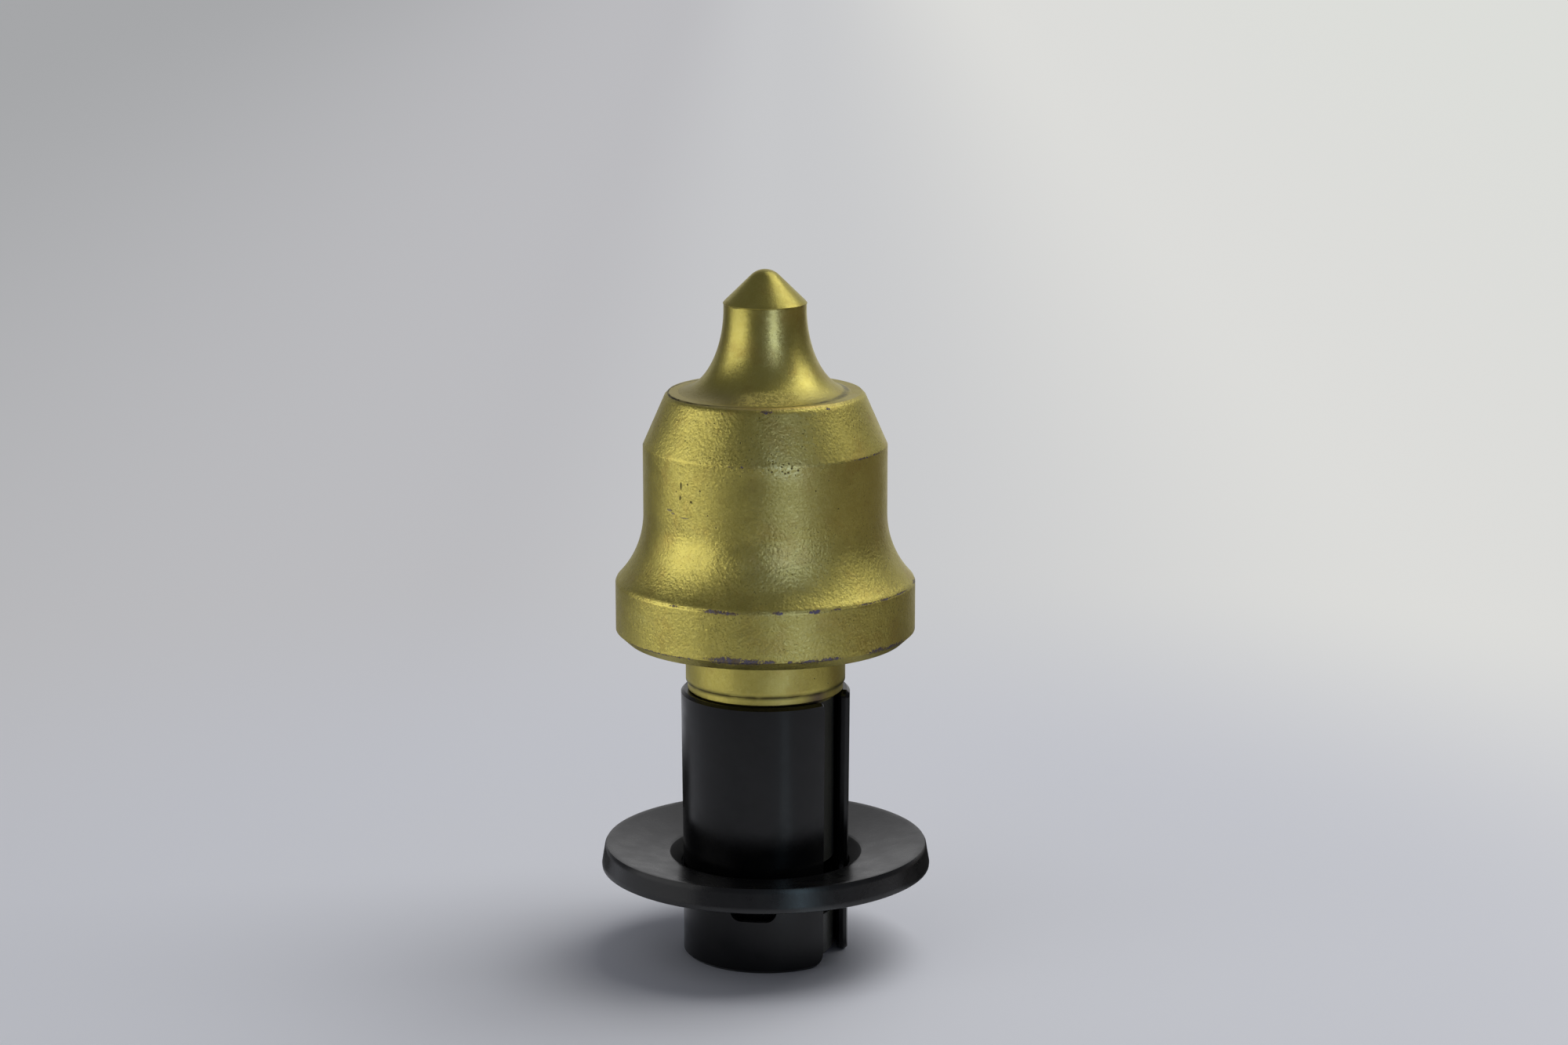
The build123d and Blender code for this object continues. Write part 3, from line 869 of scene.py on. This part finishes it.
washer_steel, washer_rough = blackened("blackened_washer_steel", 0.26, 0.3, 0.01)
matt_bore = grade(washer_steel, reach_of(washer_steel), countersink_radius - 0.05,
                  countersink_radius + 0.05, 1.0, 0.0)
matt = (0.7, 0.7, 0.7, 1)
washer_steel.surface("Roughness", mix(washer_steel, matt_bore, washer_rough, matt))
washer_steel.surface("Specular IOR Level", 0.65)
washer_steel.cover(blackened_washer)

# %% [markdown]
# ## The braze
#
# Only a hair line of the copper braze could ever be seen, and it was sprayed over with the rest,
# so it gets a dull dark gold of its own.

# %% Braze
braze_paint = Paint("painted_braze")
dull_gold = (0.1, 0.075, 0.03, 1)
brighter_gold = (0.2, 0.15, 0.05, 1)
braze_paint.surface("Base Color", mix(braze_paint, noise(braze_paint, 0.6, 3), dull_gold, brighter_gold))
braze_paint.surface("Metallic", 1.0)
braze_paint.surface("Roughness", 0.6)
braze_paint.cover(braze)

# %% [markdown]
# ## The table
#
# The table is a pale sheet that runs into a pale backdrop with no edge. Close to the pick it is a
# plain diffuse surface that takes the shadow. Further out it turns darker for the light that
# bounces, so that the metal reflects a dim room, and a dark corner on either side of the pick keeps
# the sleeve's edges black. The eye, and the reflections of what lies behind the pick, see an even
# glow in its place, a little darker at the left. Black cards and a curved backdrop would do the
# same in a studio. Here one round sheet is enough for all of it.

# %% A round table
table_radius = 6
bpy.ops.object.select_all(action="DESELECT")
bpy.ops.mesh.primitive_circle_add(vertices=128, radius=table_radius, fill_type="NGON")
table = bpy.context.object
table.name = "table"
print(f"table {2 * table_radius} m across at level {table.location.z}")

# %% The sheet's own colour
sheet = Paint("pale_sheet")
sheet.nodes.remove(sheet.shader)
split = sheet.nodes.new("ShaderNodeSeparateXYZ")
sheet.put(split.inputs[0], sheet.place)
distance = times(sheet, reach_of(sheet), MM)
rays = sheet.nodes.new("ShaderNodeLightPath")
unseen = work_out(sheet, "SUBTRACT", 1.0, rays.outputs["Is Camera Ray"])

near_sheet = (0.88, 0.91, 1.0, 1)
far_sheet_left = (0.20, 0.20, 0.21, 1)
far_sheet_right = (0.235, 0.20, 0.18, 1)
far_sheet = mix(sheet, grade(sheet, split.outputs["X"], 0.05, 0.25), far_sheet_left, far_sheet_right)
sheet_colour = mix(sheet, times(sheet, grade(sheet, distance, 0.1, 0.2), unseen), near_sheet, far_sheet)
print("sheet:", len(sheet.nodes), "nodes")

# %% Dark corners beside the pick
dark_corner = (0.03, 0.03, 0.03, 1)
sheet_turn = turn_of(sheet)
right_corner = grade(sheet, band(sheet, sheet_turn, 135.0, 55.0), 0.0, 0.4)
right_reach = times(sheet, grade(sheet, distance, 0.02, 0.05),
                    grade(sheet, distance, 0.135, 0.165, 1.0, 0.0))
left_corner = grade(sheet, band(sheet, sheet_turn, -150.0, 40.0), 0.0, 0.4)
left_reach = times(sheet, grade(sheet, distance, 0.035, 0.06),
                   grade(sheet, distance, 0.085, 0.115, 1.0, 0.0))
corners = plus(sheet, times(sheet, right_corner, right_reach), times(sheet, left_corner, left_reach))
sheet_colour = mix(sheet, times(sheet, corners, unseen), sheet_colour, dark_corner)
diffuse = sheet.nodes.new("ShaderNodeBsdfDiffuse")
sheet.put(diffuse.inputs["Color"], sheet_colour)
print("with the corners:", len(sheet.nodes), "nodes")

# %% The backdrop's glow
glow = sheet.nodes.new("ShaderNodeEmission")
tones = sheet.nodes.new("ShaderNodeValToRGB")
tones.color_ramp.interpolation = "EASE"
sheet.put(tones.inputs[0], grade(sheet, split.outputs["X"], -0.45, 0.45))
tones.color_ramp.elements[0].color = (0.38, 0.385, 0.395, 1)
tones.color_ramp.elements[1].color = (0.72, 0.73, 0.70, 1)
for position, tone in (
    (0.4, (0.50, 0.50, 0.52, 1)),
    (0.5, (0.57, 0.575, 0.59, 1)),
    (0.7, (0.72, 0.72, 0.70, 1)),
):
    tones.color_ramp.elements.new(position).color = tone
sheet.put(glow.inputs["Color"], tones.outputs["Color"])
print("glow:", len(tones.color_ramp.elements), "tones from left to right")

# %% Where the glow stands in for the sheet
side = work_out(sheet, "DIVIDE", work_out(sheet, "ABSOLUTE", split.outputs["X"]),
                work_out(sheet, "MAXIMUM", split.outputs["Y"], 0.01))
behind = times(sheet, grade(sheet, split.outputs["Y"], 0.0, 0.3), grade(sheet, side, 0.4, 0.9, 1.0, 0.0))
at_left = grade(sheet, split.outputs["X"], 0.0, 0.01, 1.0, 0.0)
left_start = times(sheet, grade(sheet, distance, 0.075, 0.15), at_left)
glow_start = work_out(sheet, "MAXIMUM", left_start, grade(sheet, distance, 0.165, 0.2))
mirrored = times(sheet, times(sheet, rays.outputs["Is Glossy Ray"], behind), glow_start)
plainly_seen = times(sheet, rays.outputs["Is Camera Ray"], grade(sheet, distance, 0.08, 0.22))
both = sheet.nodes.new("ShaderNodeMixShader")
sheet.put(both.inputs[0], work_out(sheet, "MAXIMUM", plainly_seen, mirrored))
sheet.put(both.inputs[1], diffuse.outputs[0])
sheet.put(both.inputs[2], glow.outputs[0])
sheet.put(sheet.nodes["Material Output"].inputs["Surface"], both.outputs[0])
sheet.cover(table)

# %% [markdown]
# ## The lamps
#
# A painted metal shows its shape by what it mirrors, so each lamp is a flat soft box with a place
# in those reflections: a big one high at the right for the flare and the head, a tall one at the
# left and a narrow cool one in front for the long streaks, and a faint card at the right for the
# taper. The point is smoother than the steel, so the high lamp is weaker on it and a small one at
# the right is its own. The table has a big lamp, which sets how deep its shadow is, and a weak
# fill. One set of lamps for everything would be simpler, but then either the shadow or the streaks
# come out wrong, so light linking keeps each lamp to its pieces.

# %% A soft lamp
def soft_lamp(name, place, aim, size, radiance, colour, lit):
    """A flat lamp of a width and a height in metres, with a given brightness of its face."""
    bpy.ops.object.select_all(action="DESELECT")
    bpy.ops.object.light_add(type="AREA", location=place)
    lamp = bpy.context.object
    lamp.name = name
    lamp.rotation_euler = (Vector(aim) - Vector(place)).to_track_quat("-Z", "Y").to_euler()
    lamp.data.shape = "RECTANGLE"
    lamp.data.size, lamp.data.size_y = size
    lamp.data.energy = radiance * pi * size[0] * size[1]
    lamp.data.color = colour
    lamp.visible_camera = False
    lamp.light_linking.receiver_collection = lit
    print(f"{name}: {lamp.data.energy:.2f} W")
    return lamp


# %% Who gets which light
def receivers(name, pieces):
    """A group of pieces that linked lamps light."""
    group = bpy.data.collections.new(name)
    for piece in pieces:
        group.objects.link(piece)
    print(f"{name}: {', '.join(piece.name for piece in pieces)}")
    return group


steel_gold = receivers("steel_gold", [painted_body, braze])
carbide_gold = receivers("carbide_gold", [painted_point])
black_pieces = receivers("black_pieces", [sleeve, blackened_washer])
steel_and_black = receivers("steel_and_black", [painted_body, braze, sleeve, blackened_washer])
table_only = receivers("table_only", [table])

# %% Hang the big lamps
white = (1, 1, 1)
warm_white = (1, 0.98, 0.94)
pick_middle = (0, 0, 0.06)
high_place = (0.43, 0.26, 0.815)
high_size = (0.85, 0.6)
soft_lamp("table_lamp", (0.413, 0.20, 0.827), (0, 0, 0.03), (0.85, 0.8), 2.42, warm_white, table_only)
soft_lamp("table_fill", (-0.5, -0.4, 0.6), (0, 0, 0), (0.8, 0.8), 0.3, warm_white, table_only)
soft_lamp("high_right", high_place, pick_middle, high_size, 1.6, white, steel_and_black)
soft_lamp("high_right_on_point", high_place, pick_middle, high_size, 0.85, white, carbide_gold)
soft_lamp("right_on_point", (0.40, 0.06, 0.37), pick_middle, (0.34, 0.26), 1.15, white, carbide_gold)
soft_lamp("right_card", (0.37, 0.03, 0.25), pick_middle, (0.35, 0.2), 0.5, white, steel_gold)

# %% Stand up the streak lamps
streak_height = 0.245
for name, place, width, colour, strengths in (
    # strengths on the steel's gold, the carbide's gold and the black pieces
    ("tall_left", (-0.315, -0.08), 0.34, white, (1.5, 1.0, 0.6)),
    ("cool_front", (0.14, -0.32), 0.11, (0.44, 0.53, 1.0), (3.2, 3.0, 0.0)),
    ("pale_front", (0.14, -0.32), 0.09, (0.56, 0.82, 1.0), (0.0, 0.0, 1.5)),
):
    middle = (0, 0, streak_height / 2)
    for lit, strength in zip((steel_gold, carbide_gold, black_pieces), strengths):
        if strength:
            soft_lamp(f"{name}_on_{lit.name}", (*place, streak_height / 2), middle,
                      (width, streak_height), strength, colour, lit)

# %% Lay a strip on the table
strip_place = (0.042, -0.086, 0.001)
above_strip = (0.042, -0.086, 1)
pale_blue = (0.7, 0.9, 1.0)
strip = soft_lamp("pale_strip", strip_place, above_strip, (0.016, 0.13), 0.36, pale_blue, black_pieces)
strip.rotation_euler = (pi, 0, radians(26))
print("the strip shines up, and its length points away from the pick")

# %% [markdown]
# ## The room
#
# The rest of the room is dim, with a paler wall behind that the washer's top and the sleeve's left
# edge mirror at a glance. A world colour that depends on direction does this without walls in the
# scene. What the eye sees past the sheet's end is the same glow as the sheet's, so a view from low
# down has no dark sky above the table.

# %% A dim room with a pale wall
pale_wall = (0.12, 0.99, 0)
world = bpy.data.worlds.new("room")
bpy.context.scene.world = world
world.use_nodes = True
room = world.node_tree.nodes
join = world.node_tree.links.new

direction = room.new("ShaderNodeTexCoord").outputs["Generated"]
facing = room.new("ShaderNodeVectorMath")
facing.operation = "DOT_PRODUCT"
facing.inputs[1].default_value = pale_wall
join(direction, facing.inputs[0])
walls = room.new("ShaderNodeValToRGB")
walls.color_ramp.elements[0].position = 0.6
walls.color_ramp.elements[0].color = (0.103, 0.105, 0.116, 1)
walls.color_ramp.elements[1].position = 0.95
walls.color_ramp.elements[1].color = (0.57, 0.57, 0.58, 1)
join(facing.outputs["Value"], walls.inputs[0])
print("room:", len(room), "nodes")

# %% The same glow behind the table's end
sideways = room.new("ShaderNodeSeparateXYZ")
join(direction, sideways.inputs[0])
backdrop = room.new("ShaderNodeMapRange")
backdrop.inputs["From Min"].default_value = -0.1
backdrop.inputs["From Max"].default_value = 0.1
join(sideways.outputs["X"], backdrop.inputs["Value"])
backdrop_tones = room.new("ShaderNodeValToRGB")
backdrop_tones.color_ramp.elements[0].color = tones.color_ramp.elements[0].color
backdrop_tones.color_ramp.elements[1].color = tones.color_ramp.elements[-1].color
join(backdrop.outputs[0], backdrop_tones.inputs[0])

world_rays = room.new("ShaderNodeLightPath")
seen = room.new("ShaderNodeMix")
seen.data_type = "RGBA"
join(world_rays.outputs["Is Camera Ray"], seen.inputs["Factor"])
join(walls.outputs[0], seen.inputs["A"])
join(backdrop_tones.outputs[0], seen.inputs["B"])
join(seen.outputs["Result"], room["Background"].inputs["Color"])
print("with the glow:", len(room), "nodes")

# %% [markdown]
# ## The camera
#
# The tool is shown from close by with a long lens, from a little above its point, so that its rim,
# the flange and the washer open into narrow ellipses.

# %% Camera
looking_down = 12.34  # degrees
camera_place = (0.0023, -0.4348, 0.150)
bpy.ops.object.camera_add(location=camera_place, rotation=(radians(90 - looking_down), 0, 0))
camera = bpy.context.object
camera.data.lens = 83.03
camera.data.sensor_width = 36
camera.data.clip_start = 0.01
bpy.context.scene.camera = camera
bpy.context.scene.view_settings.view_transform = "Standard"
print(f"camera {hypot(*camera.location) * 100:.0f} cm away, looking {looking_down} degrees down")
